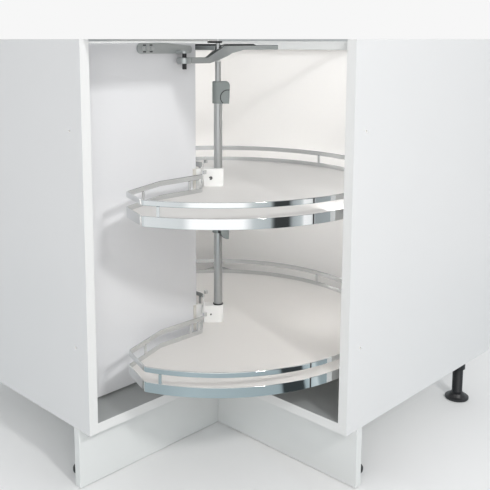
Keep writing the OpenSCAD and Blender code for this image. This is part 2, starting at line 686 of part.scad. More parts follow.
module lower_rail_studs() rail_studs(lower_tray_z);
module upper_rail_studs() rail_studs(upper_tray_z);
module lower_tray_board() tray_board(lower_tray_z);
module lower_tray_band() tray_band(lower_tray_z);
module lower_tray_rail() tray_rail(lower_tray_z);
module lower_tray_spacers() tray_spacers(lower_tray_z);
module upper_tray_board() tray_board(upper_tray_z);
module upper_tray_band() tray_band(upper_tray_z);
module upper_tray_rail() tray_rail(upper_tray_z);
module upper_tray_spacers() tray_spacers(upper_tray_z);

side_panel_left();
side_panel_right();
bottom_panel();
back_panel_left();
back_panel_right();
stretcher_left();
stretcher_right();
top_cross();
top_bearing();
top_pin();
base_bearing();
base_screws();
plinth_left();
plinth_right();
plinth_clips();
foot_sockets();
levelling_feet();
lower_tube();
base_bush();
coupling_clamp();
coupling_lever();
upper_tube();
top_bush();
lower_tray_board();
lower_tray_band();
lower_tray_rail();
lower_tray_spacers();
lower_hub_bracket();
upper_tray_board();
upper_tray_band();
upper_tray_rail();
upper_tray_spacers();
upper_hub_bracket();
tray_sleeve();
tray_clamp();
tray_lever();
lower_hub_screw();
upper_hub_screw();
hub_ring();
lower_rail_studs();
upper_rail_studs();
front_left();
front_right();
lower_front_bracket();
upper_front_bracket();
lower_guide_block();
upper_guide_block();
bracket_screws();
link_bar_left();
link_bar_right();
link_screws();
link_pins();
retract_arm();
arm_tail();
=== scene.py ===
import json
import math

import bmesh
import bpy
from mathutils import Matrix, Vector


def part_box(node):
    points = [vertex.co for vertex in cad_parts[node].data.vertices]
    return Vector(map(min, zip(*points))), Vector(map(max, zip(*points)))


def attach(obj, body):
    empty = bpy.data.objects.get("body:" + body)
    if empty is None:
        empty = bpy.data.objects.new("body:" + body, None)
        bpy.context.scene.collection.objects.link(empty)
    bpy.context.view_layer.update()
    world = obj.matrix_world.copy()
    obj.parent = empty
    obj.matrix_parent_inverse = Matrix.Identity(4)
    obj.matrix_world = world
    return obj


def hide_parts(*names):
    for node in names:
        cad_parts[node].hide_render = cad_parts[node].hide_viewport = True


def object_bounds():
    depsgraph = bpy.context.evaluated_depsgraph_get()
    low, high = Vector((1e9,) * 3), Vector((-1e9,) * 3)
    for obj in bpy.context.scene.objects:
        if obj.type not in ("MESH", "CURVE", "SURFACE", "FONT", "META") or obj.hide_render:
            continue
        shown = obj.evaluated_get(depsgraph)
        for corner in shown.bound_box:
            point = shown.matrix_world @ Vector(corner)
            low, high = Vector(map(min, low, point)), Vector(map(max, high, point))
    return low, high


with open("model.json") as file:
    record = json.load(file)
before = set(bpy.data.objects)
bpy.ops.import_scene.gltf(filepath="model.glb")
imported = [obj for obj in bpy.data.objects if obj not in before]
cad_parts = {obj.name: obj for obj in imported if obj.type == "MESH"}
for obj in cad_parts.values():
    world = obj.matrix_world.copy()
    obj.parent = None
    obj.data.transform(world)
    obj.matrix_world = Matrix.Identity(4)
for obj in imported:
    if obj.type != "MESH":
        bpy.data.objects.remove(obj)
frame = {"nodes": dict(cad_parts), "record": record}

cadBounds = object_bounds()
print("frame loaded:", len(frame["nodes"]), "nodes")

nodeBody = {n: b for b, ns in frame["record"]["behaviour"]["bodies"].items() for n in ns}
nodeSlot = {s["node"]: s["material_slot"] for s in frame["record"]["subparts"]}
tubeLow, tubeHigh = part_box("lower_tube")
postAxis = Vector(((tubeLow.x + tubeHigh.x) / 2, (tubeLow.y + tubeHigh.y) / 2, 0))
toRoom = Vector((1, -1, 0)).normalized()     # out of the corner, towards the viewer
toRight = Vector((1, 1, 0)).normalized()     # along the opening, to the viewer's right

# Where the photographer stood: square on to the corner, level with the carcass top, looking a little down
cameraSetup = {"distance": 1.612, "height": 0.84, "tiltDown": 8.7, "heading": 45, "lens": 56.5,
               "shift": (0.055, -0.18), "clipStart": 0.05}


def placeCamera(setup):
    data = bpy.data.cameras.new("camera")
    data.lens = setup["lens"]
    data.shift_x, data.shift_y = setup["shift"]
    data.clip_start = setup["clipStart"]
    cam = bpy.data.objects.new("camera", data)
    bpy.context.scene.collection.objects.link(cam)
    cam.location = postAxis + toRoom * setup["distance"] + Vector((0, 0, setup["height"]))
    cam.rotation_euler = (math.radians(90 - setup["tiltDown"]), 0, math.radians(setup["heading"]))
    bpy.context.scene.camera = cam


placeCamera(cameraSetup)


def newGroup(name, inputs, outputs):
    group = bpy.data.node_groups.new(name, "ShaderNodeTree")
    for label, kind, value in inputs:
        socket = group.interface.new_socket(label, in_out="INPUT", socket_type=kind)
        socket.default_value = value
    for label, kind in outputs:
        group.interface.new_socket(label, in_out="OUTPUT", socket_type=kind)
    return group, group.nodes.new("NodeGroupInput"), group.nodes.new("NodeGroupOutput")


def mathNode(nodes, operation, a=None, b=None):
    node = nodes.new("ShaderNodeMath")
    node.operation = operation
    for i, v in enumerate((a, b)):
        if isinstance(v, (int, float)):
            node.inputs[i].default_value = v
    return node


# Fine unevenness of a finish: tone, gloss and height, stretched along one way for drawn or brushed metal
def makeFinishGroup():
    group, gin, gout = newGroup(
        "unevenFinish",
        [("Color", "NodeSocketColor", (0.8, 0.8, 0.8, 1)), ("Tone", "NodeSocketFloat", 0.04),
         ("Gloss", "NodeSocketFloat", 0.3), ("GlossChange", "NodeSocketFloat", 0.05),
         ("Scale", "NodeSocketFloat", 200.0), ("Stretch", "NodeSocketVector", (1, 1, 1)),
         ("Cloud", "NodeSocketFloat", 6.0)],
        [("Color", "NodeSocketColor"), ("Roughness", "NodeSocketFloat"), ("Height", "NodeSocketFloat")])
    nodes, links = group.nodes, group.links
    place = nodes.new("ShaderNodeTexCoord")
    mapping = nodes.new("ShaderNodeMapping")
    links.new(place.outputs["Object"], mapping.inputs["Vector"])
    links.new(gin.outputs["Stretch"], mapping.inputs["Scale"])
    fine = nodes.new("ShaderNodeTexNoise")
    fine.inputs["Detail"].default_value = 3
    links.new(mapping.outputs["Vector"], fine.inputs["Vector"])
    links.new(gin.outputs["Scale"], fine.inputs["Scale"])
    cloud = nodes.new("ShaderNodeTexNoise")
    cloud.inputs["Detail"].default_value = 4
    links.new(place.outputs["Object"], cloud.inputs["Vector"])
    links.new(gin.outputs["Cloud"], cloud.inputs["Scale"])
    both = mathNode(nodes, "ADD")
    links.new(fine.outputs["Fac"], both.inputs[0])
    links.new(cloud.outputs["Fac"], both.inputs[1])
    centred = mathNode(nodes, "SUBTRACT", b=1.0)
    links.new(both.outputs[0], centred.inputs[0])
    toneBy = mathNode(nodes, "MULTIPLY")
    links.new(centred.outputs[0], toneBy.inputs[0])
    links.new(gin.outputs["Tone"], toneBy.inputs[1])
    gain = mathNode(nodes, "ADD", b=1.0)
    links.new(toneBy.outputs[0], gain.inputs[0])
    colour = nodes.new("ShaderNodeVectorMath")
    colour.operation = "SCALE"
    links.new(gin.outputs["Color"], colour.inputs[0])
    links.new(gain.outputs[0], colour.inputs["Scale"])
    links.new(colour.outputs[0], gout.inputs["Color"])
    glossBy = mathNode(nodes, "MULTIPLY")
    links.new(centred.outputs[0], glossBy.inputs[0])
    links.new(gin.outputs["GlossChange"], glossBy.inputs[1])
    gloss = mathNode(nodes, "ADD")
    gloss.use_clamp = True
    links.new(glossBy.outputs[0], gloss.inputs[0])
    links.new(gin.outputs["Gloss"], gloss.inputs[1])
    links.new(gloss.outputs[0], gout.inputs["Roughness"])
    links.new(fine.outputs["Fac"], gout.inputs["Height"])
    return group


finishGroup = makeFinishGroup()

# Colours are what the surface shows in plain light, except that the whites are lit and shaded copies of one
# white: the carcass white is painted lighter, as painted light on the inner walls, and the white of the
# fronts, boards and edges is painted darker, as painted shade
finishes = {
    # painted light: lighter than the other whites, for the light inside the unit
    "white_carcass": dict(color=(0.92, 0.905, 0.885), gloss=0.38, tone=0.025, scale=900, bump=0.05),
    "grey_floor": dict(color=(0.34, 0.355, 0.355), gloss=0.34, tone=0.03, scale=900, bump=0.05),
    "front_edging": dict(color=(0.70, 0.705, 0.70), gloss=0.30, tone=0.02, scale=500, bump=0.03),
    # painted shade: a darker copy of the white, for the plinth and stretchers
    "white_edge": dict(color=(0.67, 0.685, 0.68), gloss=0.34, tone=0.02, scale=700, bump=0.04),
    # painted shade: the carcass white made darker on the outer sides
    "white_outside": dict(color=(0.66, 0.665, 0.67), gloss=0.36, tone=0.02, scale=900, bump=0.05),
    # painted shade: a darker copy of the white, for the fronts
    "white_front": dict(color=(0.70, 0.705, 0.72), gloss=0.22, tone=0.012, scale=260, bump=0.015,
                        coat=0.35),
    # painted shade: a darker copy of the white, for the boards
    "white_board": dict(color=(0.71, 0.695, 0.675), gloss=0.36, tone=0.02, scale=1100, bump=0.06),
    "chrome": dict(color=(0.71, 0.725, 0.73), gloss=0.055, tone=0.03, glossChange=0.03, scale=60,
                   bump=0.004, metal=1),
    "post_metal": dict(color=(0.47, 0.48, 0.48), gloss=0.30, tone=0.10, glossChange=0.08, scale=260,
                       stretch=(1, 1, 0.02), bump=0.02, metal=1),
    "steel": dict(color=(0.60, 0.61, 0.61), gloss=0.32, tone=0.12, glossChange=0.1, scale=320,
                  bump=0.04, metal=1),
    "arm_metal": dict(color=(0.47, 0.49, 0.49), gloss=0.36, tone=0.08, glossChange=0.08, scale=420,
                      bump=0.06, metal=1),
    "grey_plastic": dict(color=(0.215, 0.24, 0.235), gloss=0.46, tone=0.05, scale=1500, bump=0.12),
    "white_plastic": dict(color=(0.78, 0.78, 0.765), gloss=0.36, tone=0.03, scale=1300, bump=0.08),
    "beige_plate": dict(color=(0.64, 0.62, 0.575), gloss=0.4, tone=0.04, scale=700, bump=0.05),
    "black_plastic": dict(color=(0.018, 0.018, 0.02), gloss=0.42, tone=0.2, scale=1400, bump=0.12),
    # near black: painted shade in slots, sockets and seams, and the rims' dark joiner
    "recess": dict(color=(0.03, 0.03, 0.032), gloss=0.6, tone=0.1, scale=600, bump=0.02),
    # painted reflection and shade on the top edge of the arm and its tail
    "dark_strip": dict(color=(0.07, 0.075, 0.075), gloss=0.35, tone=0.1, scale=500, bump=0.04, metal=1),
}
coatGloss = 0.08
bumpHeight = 0.001


def makeMaterial(name, color, gloss, tone, scale, bump, glossChange=0.06, stretch=(1, 1, 1), metal=0,
                 coat=0.0):
    material = bpy.data.materials.new(name)
    material.use_nodes = True
    nodes, links = material.node_tree.nodes, material.node_tree.links
    shader = nodes["Principled BSDF"]
    shader.inputs["Metallic"].default_value = metal
    shader.inputs["Coat Weight"].default_value = coat
    shader.inputs["Coat Roughness"].default_value = coatGloss
    finish = nodes.new("ShaderNodeGroup")
    finish.node_tree = finishGroup
    for label, value in (("Color", (*color, 1)), ("Tone", tone), ("Gloss", gloss),
                         ("GlossChange", glossChange), ("Scale", scale), ("Stretch", stretch)):
        finish.inputs[label].default_value = value
    relief = nodes.new("ShaderNodeBump")
    relief.inputs["Strength"].default_value = bump
    relief.inputs["Distance"].default_value = bumpHeight
    links.new(finish.outputs["Color"], shader.inputs["Base Color"])
    links.new(finish.outputs["Roughness"], shader.inputs["Roughness"])
    links.new(finish.outputs["Height"], relief.inputs["Height"])
    links.new(relief.outputs["Normal"], shader.inputs["Normal"])
    return material


materials = {name: makeMaterial(name, **finish) for name, finish in finishes.items()}
print("materials:", len(materials))


def linked(name, mesh):
    obj = bpy.data.objects.new(name, mesh)
    bpy.context.scene.collection.objects.link(obj)
    return obj


def addPiece(name, mesh, body, slot, replaced=(), keepMaterials=False):
    piece = linked(name, mesh)
    if not keepMaterials:
        mesh.materials.clear()
        mesh.materials.append(materials[slot])
    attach(piece, body)
    if replaced:
        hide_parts(*replaced)
    return piece


# The finished mesh of an object with live modifiers; the object itself goes
def applied(obj):
    graph = bpy.context.evaluated_depsgraph_get()
    graph.update()
    mesh = bpy.data.meshes.new_from_object(obj.evaluated_get(graph))
    bpy.data.objects.remove(obj)
    return mesh


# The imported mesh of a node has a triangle's corners apart and flat faces in pieces
weldDistance = 2e-6
flatAngle = math.radians(0.6)


def mergedMesh(node):
    mesh = frame["nodes"][node].data.copy()
    mesh.materials.clear()
    work = bmesh.new()
    work.from_mesh(mesh)
    bmesh.ops.remove_doubles(work, verts=work.verts, dist=weldDistance)
    bmesh.ops.dissolve_limit(work, angle_limit=flatAngle, verts=work.verts, edges=work.edges)
    work.to_mesh(mesh)
    work.free()
    return mesh


# Edges rounded off as on the real piece, with shading that keeps flat faces flat
def eased(mesh, ease, steps=2, sharpAngle=32, clamped=True):
    mesh.shade_smooth()
    mesh.set_sharp_from_angle(angle=math.radians(sharpAngle))
    temp = linked("easing", mesh)
    bevel = temp.modifiers.new("ease", "BEVEL")
    bevel.width, bevel.segments = ease, steps
    bevel.limit_method, bevel.angle_limit = "ANGLE", math.radians(sharpAngle)
    bevel.use_clamp_overlap, bevel.harden_normals = clamped, True
    return applied(temp)


# A mesh less the cutters, whose finish shows where they cut
def carved(mesh, *cutters):
    temp = linked("carving", mesh)
    tools = [linked("cutter", cutter) for cutter in cutters]
    for tool in tools:
        cut = temp.modifiers.new("cut", "BOOLEAN")
        cut.operation, cut.solver, cut.object = "DIFFERENCE", "EXACT", tool
        cut.material_mode = "TRANSFER"
    result = applied(temp)
    for tool in tools:
        bpy.data.objects.remove(tool)
    return result


# A turned shape from radius and height pairs, closed where the radius is nought
def turned(profile, steps=32, sharpAngle=35):
    work = bmesh.new()
    rings = []
    for radius, height in profile:
        if radius == 0:
            rings.append([work.verts.new((0, 0, height))])
        else:
            rings.append([work.verts.new((radius * math.cos(a), radius * math.sin(a), height))
                          for a in (2 * math.pi * i / steps for i in range(steps))])
    for low, high in zip(rings, rings[1:]):
        for i in range(steps):
            j = (i + 1) % steps
            corners = [low[i % len(low)], low[j % len(low)], high[j % len(high)], high[i % len(high)]]
            work.faces.new(list(dict.fromkeys(corners)))
    bmesh.ops.recalc_face_normals(work, faces=work.faces)
    mesh = bpy.data.meshes.new("turned")
    work.to_mesh(mesh)
    work.free()
    mesh.shade_smooth()
    mesh.set_sharp_from_angle(angle=math.radians(sharpAngle))
    return mesh


def block(low, high, material=None):
    work = bmesh.new()
    bmesh.ops.create_cube(work, size=1)
    low, high = Vector(low), Vector(high)
    for v in work.verts:
        v.co = Vector([low[i] + (v.co[i] + 0.5) * (high[i] - low[i]) for i in range(3)])
    mesh = bpy.data.meshes.new("block")
    work.to_mesh(mesh)
    work.free()
    if material:
        mesh.materials.append(material)
    return mesh


# Copies of one shape on points, each turned so that its z runs along the point's facing
def makeCopiesTree():
    tree = bpy.data.node_groups.new("copiesOnPoints", "GeometryNodeTree")
    for label, kind in (("Geometry", "NodeSocketGeometry"), ("Shape", "NodeSocketObject"),
                        ("Turn", "NodeSocketFloat"), ("Finish", "NodeSocketMaterial")):
        tree.interface.new_socket(label, in_out="INPUT", socket_type=kind)
    tree.interface.new_socket("Geometry", in_out="OUTPUT", socket_type="NodeSocketGeometry")
    nodes, links = tree.nodes, tree.links
    gin, gout = nodes.new("NodeGroupInput"), nodes.new("NodeGroupOutput")
    shape = nodes.new("GeometryNodeObjectInfo")
    links.new(gin.outputs["Shape"], shape.inputs["Object"])
    facing = nodes.new("GeometryNodeInputNamedAttribute")
    facing.data_type = "FLOAT_VECTOR"
    facing.inputs["Name"].default_value = "facing"
    align = nodes.new("FunctionNodeAlignRotationToVector")
    align.axis = "Z"
    links.new(facing.outputs["Attribute"], align.inputs["Vector"])
    chance = nodes.new("FunctionNodeRandomValue")      # screws end at any angle
    chance.data_type = "FLOAT"
    chance.inputs["Seed"].default_value = 7
    links.new(gin.outputs["Turn"], chance.inputs[3])
    spin = nodes.new("FunctionNodeAxisAngleToRotation")
    spin.inputs["Axis"].default_value = (0, 0, 1)
    links.new(chance.outputs[1], spin.inputs["Angle"])
    both = nodes.new("FunctionNodeRotateRotation")
    both.rotation_space = "LOCAL"
    links.new(align.outputs["Rotation"], both.inputs["Rotation"])
    links.new(spin.outputs["Rotation"], both.inputs["Rotate By"])
    copies = nodes.new("GeometryNodeInstanceOnPoints")
    links.new(gin.outputs["Geometry"], copies.inputs["Points"])
    links.new(shape.outputs["Geometry"], copies.inputs["Instance"])
    links.new(both.outputs["Rotation"], copies.inputs["Rotation"])
    real = nodes.new("GeometryNodeRealizeInstances")
    links.new(copies.outputs["Instances"], real.inputs["Geometry"])
    finish = nodes.new("GeometryNodeSetMaterial")
    links.new(real.outputs["Geometry"], finish.inputs["Geometry"])
    links.new(gin.outputs["Finish"], finish.inputs["Material"])
    links.new(finish.outputs["Geometry"], gout.inputs["Geometry"])
    return tree


copiesTree = makeCopiesTree()
copiesInputs = {item.name: item.identifier for item in copiesTree.interface.items_tree
                if item.in_out == "INPUT"}


def copiesOf(shapeMesh, places, slot, turn=0.0):
    points = bpy.data.meshes.new("places")
    points.from_pydata([p for p, _ in places], [], [])
    facing = points.attributes.new("facing", "FLOAT_VECTOR", "POINT")
    for i, (_, direction) in enumerate(places):
        facing.data[i].vector = direction
    holder, shape = linked("copies", points), linked("shape", shapeMesh)
    tree = holder.modifiers.new("copies", "NODES")
    tree.node_group = copiesTree
    tree[copiesInputs["Shape"]] = shape
    tree[copiesInputs["Turn"]] = turn
    tree[copiesInputs["Finish"]] = materials[slot]
    mesh = applied(holder)
    bpy.data.objects.remove(shape)
    return mesh


# Lowest and highest corner of each separate solid of a node
def solidBoxes(node):
    work = bmesh.new()
    work.from_mesh(frame["nodes"][node].data)
    bmesh.ops.remove_doubles(work, verts=work.verts, dist=weldDistance)
    left, boxes = set(work.verts), []
    while left:
        stack, part = [left.pop()], []
        while stack:
            v = stack.pop()
            part.append(v.co)
            for edge in v.link_edges:
                other = edge.other_vert(v)
                if other in left:
                    left.remove(other)
                    stack.append(other)
        boxes.append((Vector([min(c[i] for c in part) for i in range(3)]),
                      Vector([max(c[i] for c in part) for i in range(3)])))
    work.free()
    return boxes


def camelName(node):
    first, *rest = node.split("_")
    return first + "".join(w.capitalize() for w in rest)


made = set()


def makeInstead(node, mesh, keepMaterials=False):
    addPiece(camelName(node), mesh, nodeBody[node], nodeSlot[node], replaced=(node,),
             keepMaterials=keepMaterials)
    made.add(node)


# Pan-head screws with a cross recess, driven in against their seats. The crown's edge and top and the tip
# are shares of a radius, and the crown's drop is a share of its height
screwShape = {
    "crown": 0.0007, "crownEdge": 0.86, "crownDrop": 0.45, "crownTop": 0.5, "topDrop": 0.0001,
    "rim": 0.0003, "underRim": 0.0002, "tip": 0.3, "tipLength": 0.002,
    "crossWidth": 0.0009, "crossReach": 0.0024, "crossDepth": 0.0013, "crossAbove": 0.001,
}


def screwMesh(headRadius, headHeight, shankRadius, length):
    s = screwShape
    head = turned([
        (0, -length), (shankRadius * s["tip"], -length), (shankRadius, -length + s["tipLength"]),
        (shankRadius, 0), (headRadius - s["underRim"], 0), (headRadius, s["rim"]),
        (headRadius, headHeight - s["crown"] - s["rim"]),
        (headRadius * s["crownEdge"], headHeight - s["crown"] * s["crownDrop"]),
        (headRadius * s["crownTop"], headHeight - s["topDrop"]), (0, headHeight)])
    bars = [block((-a, -b, headHeight - s["crossDepth"]), (a, b, headHeight + s["crossAbove"]))
            for a, b in ((s["crossReach"], s["crossWidth"] / 2), (s["crossWidth"] / 2, s["crossReach"]))]
    return carved(head, *bars)


screwKinds = {
    "base_screws": dict(headRadius=0.0046, headHeight=0.0028, shankRadius=0.0025, length=0.018,
                        facing=(0, 0, 1)),
    "bracket_screws": dict(headRadius=0.004, headHeight=0.002, shankRadius=0.0025, length=0.003,
                           facing=(0, 1, 0)),
    "link_screws": dict(headRadius=0.004, headHeight=0.002, shankRadius=0.0025, length=0.003, facing=None),
}
screwTurn = 3.0      # each screw ends at any angle up to this, in radians


# The way out of a door for a flat thing that lies on it
def offDoor(low, high):
    return Vector((1, 0, 0)) if high.x - low.x < high.y - low.y else Vector((0, 1, 0))


def makeScrews(node, headRadius, headHeight, shankRadius, length, facing):
    places = []
    for low, high in solidBoxes(node):
        centre = (low + high) / 2
        direction = Vector(facing) if facing else offDoor(low, high)
        tip = Vector([high[i] if direction[i] else centre[i] for i in range(3)])
        places.append((tip - direction * headHeight, direction))
    screw = screwMesh(headRadius, headHeight, shankRadius, length)
    makeInstead(node, copiesOf(screw, places, nodeSlot[node], turn=screwTurn))


for node, kind in screwKinds.items():
    makeScrews(node, **kind)
print("screws done")

# Levelling feet: a broad plate, a cone and a threaded stem
footShape = {
    "plate": 0.027, "plateHeight": 0.006, "plateEdge": 0.0012, "plateTopEdge": 0.001,
    "cone": 0.015, "coneTop": 0.014, "coneFoot": 0.005, "coneRise": 0.0012,
    "stem": 0.012, "stemRise": 0.001, "top": 0.108, "topEdge": 0.0005, "steps": 40,
    "pitch": 0.003, "threadDepth": 0.0009, "threadStart": 0.018, "crest": (0.4, 0.6),
}


def footMesh(s):
    root = s["stem"] - s["threadDepth"]
    profile = [(0, 0), (s["plate"] - s["plateEdge"], 0), (s["plate"], s["plateEdge"]),
               (s["plate"], s["plateHeight"] - s["plateTopEdge"]),
               (s["plate"] - s["plateTopEdge"], s["plateHeight"]),
               (s["cone"] + s["coneFoot"], s["plateHeight"] + s["coneRise"]),
               (s["cone"], s["coneTop"]), (root, s["coneTop"] + s["stemRise"])]
    height = s["threadStart"]
    while height < s["top"] - s["pitch"]:
        profile += [(root, height)] + [(s["stem"], height + s["pitch"] * share) for share in s["crest"]]
        height += s["pitch"]
    profile += [(root, s["top"] - s["topEdge"]), (0, s["top"])]
    return turned(profile, steps=s["steps"])


footPlaces = [((low + high) / 2 * Vector((1, 1, 0)), Vector((0, 0, 1)))
              for low, high in solidBoxes("levelling_feet")]
makeInstead("levelling_feet", copiesOf(footMesh(footShape), footPlaces, nodeSlot["levelling_feet"]))
print("feet done")

# Radius of the rounded edges of each finish, in metres
edgeEase = {
    "white_carcass": 0.0006, "white_edge": 0.0008, "white_front": 0.0012, "white_board": 0.0006,
    "chrome": 0.0005, "post_metal": 0.0004, "steel": 0.0003, "arm_metal": 0.0016, "grey_plastic": 0.0011,
    "white_plastic": 0.0016, "beige_plate": 0.0005, "black_plastic": 0.0008,
}

# Pieces whose rounding isn't held back by their shortest edges. The arm's leaves room for the top pin
rounderEdges = {
    "lower_tray_rail": 0.0013, "upper_tray_rail": 0.0013, "lower_tray_band": 0.0007,
    "upper_tray_band": 0.0007, "retract_arm": 0.0010, "coupling_clamp": 0.0008, "coupling_lever": 0.0008,
    "tray_clamp": 0.0008, "tray_lever": 0.0008,
}


def easedNode(node):
    if node in rounderEdges:
        return eased(mergedMesh(node), rounderEdges[node], steps=3, clamped=False)
    return eased(mergedMesh(node), edgeEase[nodeSlot[node]])


# A mesh in its own finish, with other finishes where a test of a face's middle and normal says so
def painted(mesh, slot, *others):
    mesh.materials.clear()
    for name in (slot, *(name for name, _ in others)):
        mesh.materials.append(materials[name])
    for face in mesh.polygons:
        face.material_index = 0
        for i, (_, test) in enumerate(others, 1):
            if test(face.center, face.normal):
                face.material_index = i
    return mesh


# A level cut through the faces, with nothing taken away
def sliced(mesh, height):
    work = bmesh.new()
    work.from_mesh(mesh)
    everything = [*work.verts, *work.edges, *work.faces]
    bmesh.ops.bisect_plane(work, geom=everything, dist=1e-6, plane_co=(0, 0, height),
                           plane_no=(0, 0, 1))
    work.to_mesh(mesh)
    work.free()
    return mesh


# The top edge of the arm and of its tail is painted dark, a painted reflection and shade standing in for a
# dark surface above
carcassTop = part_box("side_panel_left")[1].z
paintedDarkBelow = 0.0138
paintedDarkFrom = carcassTop - paintedDarkBelow
for node in ("retract_arm", "arm_tail"):
    arm = sliced(easedNode(node), paintedDarkFrom)
    makeInstead(node, painted(arm, nodeSlot[node], ("dark_strip", lambda c, n: c.z > paintedDarkFrom)),
                keepMaterials=True)

# Slots round the screws of the link bars, for adjusting the fronts; their walls and floors are painted dark,
# as painted shade
adjustSlot = {"length": 0.0075, "width": 0.0026, "rise": 0.0064, "apart": 0.0082, "depth": 0.0009}
linkBarThickness = 0.003
barMargin = 0.01      # a screw this near to a bar's box is the bar's own


def makeLinkBar(node, screws):
    a = adjustSlot
    middle = sum((low + high for low, high in screws), Vector()) / (2 * len(screws))
    facing = offDoor(*screws[0])
    along = Vector((facing.y, facing.x, 0))
    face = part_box(node)[0].dot(facing) + linkBarThickness
    cutters = []
    for side, rise in ((-1, -1), (-1, 1), (1, -1), (1, 1)):
        at = middle + along * side * a["apart"] + Vector((0, 0, rise * a["rise"]))
        at += facing * (face - at.dot(facing))
        reach = along * a["length"] / 2 + facing * a["depth"] + Vector((0, 0, a["width"] / 2))
        cutters.append(block(at - reach, at + reach, materials["recess"]))
    bar = easedNode(node)
    bar.materials.append(materials[nodeSlot[node]])
    makeInstead(node, carved(bar, *cutters), keepMaterials=True)


def isInside(point, low, high, margin):
    return all(low[i] - margin < point[i] < high[i] + margin for i in range(3))


linkScrewBoxes = solidBoxes("link_screws")
for node in ("link_bar_left", "link_bar_right"):
    barLow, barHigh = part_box(node)
    makeLinkBar(node, [(low, high) for low, high in linkScrewBoxes
                       if isInside((low + high) / 2, barLow, barHigh, barMargin)])

# Seams of the lever clamps: painted shade, dark where the lever's disc meets the body
leverDisc = {"radius": 0.0155, "out": 0.0205, "rise": 0.013, "band": 0.0010}
clampHeight = 0.046
clampFoot = {"coupling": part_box("coupling_clamp")[0].z, "tray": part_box("tray_clamp")[1].z - clampHeight}


def onSeam(foot):
    pivot = postAxis + toRight * leverDisc["out"] + Vector((0, 0, foot + leverDisc["rise"]))

    def test(c, n):
        away = Vector(((c - pivot).dot(toRight), (c - pivot).z))
        return abs(away.length - leverDisc["radius"]) < leverDisc["band"] and c.z > foot
    return test


for node, which in (("coupling_clamp", "coupling"), ("coupling_lever", "coupling"),
                    ("tray_clamp", "tray"), ("tray_lever", "tray")):
    clamp = painted(easedNode(node), nodeSlot[node], ("recess", onSeam(clampFoot[which])))
    makeInstead(node, clamp, keepMaterials=True)

# Hub screws are white; their socket is painted dark, as painted shade
socketSize = {"radius": 0.0023, "deepest": 0.008, "floor": 0.0006, "wallFacing": 0.7}
for node in ("lower_hub_screw", "upper_hub_screw"):
    def inSocket(c, n, middle=sum(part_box(node), Vector()) / 2):
        across = Vector(((c - middle).dot(toRight), c.z - middle.z)).length
        inward = across < socketSize["floor"] or abs(n.dot(toRoom)) < socketSize["wallFacing"]
        outside = (c - postAxis).dot(toRoom) > socketSize["deepest"]
        return inward and across < socketSize["radius"] and outside
    makeInstead(node, painted(easedNode(node), "white_plastic", ("recess", inSocket)), keepMaterials=True)

# The tray bands and rails are bent from strip, with a dark joiner on the rim
stripJoint = {"azimuth": math.radians(-16.7), "width": 0.0034, "depth": 0.0006, "past": 0.001, "out": 0.002}
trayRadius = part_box("lower_tray_band")[1].x - postAxis.x


def jointCutter(low, high):
    j = stripJoint
    cutter = block((trayRadius - j["depth"], -j["width"] / 2, low - j["past"]),
                   (trayRadius + j["out"], j["width"] / 2, high + j["past"]), materials["recess"])
    cutter.transform(Matrix.Translation(postAxis) @ Matrix.Rotation(j["azimuth"], 4, "Z"))
    return cutter


for node in ("lower_tray_band", "lower_tray_rail", "upper_tray_band", "upper_tray_rail"):
    low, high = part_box(node)
    strip = easedNode(node)
    strip.materials.append(materials[nodeSlot[node]])
    makeInstead(node, carved(strip, jointCutter(low.z, high.z)), keepMaterials=True)

# The outer sides of the carcass stand against the next units and are painted a darker copy of its white, as
# painted shade; its front edges carry thin edging
sideFaces = {"skin": 0.0005, "edging": 0.0010, "facing": 0.5, "levelFacing": 0.9, "endMargin": 0.01}
outerPlane = cadBounds[1][0] - sideFaces["skin"]
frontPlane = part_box("side_panel_left")[1].x - postAxis.x


def outerSide(c, n):
    return max(-c.y, c.x) > outerPlane and max(-n.y, n.x) > sideFaces["facing"]


def frontEdge(c, n):
    away = c - postAxis
    inEdging = min(away.x, -away.y) > frontPlane - sideFaces["edging"]
    return max(n.x, -n.y) > sideFaces["facing"] and inEdging and not outerSide(c, n)


def floorTop(c, n):
    return n.z > sideFaces["levelFacing"]


def floorEdge(c, n):
    return max(n.x, -n.y) > sideFaces["levelFacing"] and max(c.x, -c.y) < outerPlane - sideFaces["endMargin"]


for node, tests in (("side_panel_left", (("white_outside", outerSide), ("front_edging", frontEdge))),
                    ("side_panel_right", (("white_outside", outerSide), ("front_edging", frontEdge))),
                    ("bottom_panel", (("grey_floor", floorTop), ("front_edging", floorEdge)))):
    makeInstead(node, painted(easedNode(node), nodeSlot[node], *tests), keepMaterials=True)

for node in frame["nodes"]:
    if node not in made:
        makeInstead(node, easedNode(node))
print("other pieces done:", len(made))

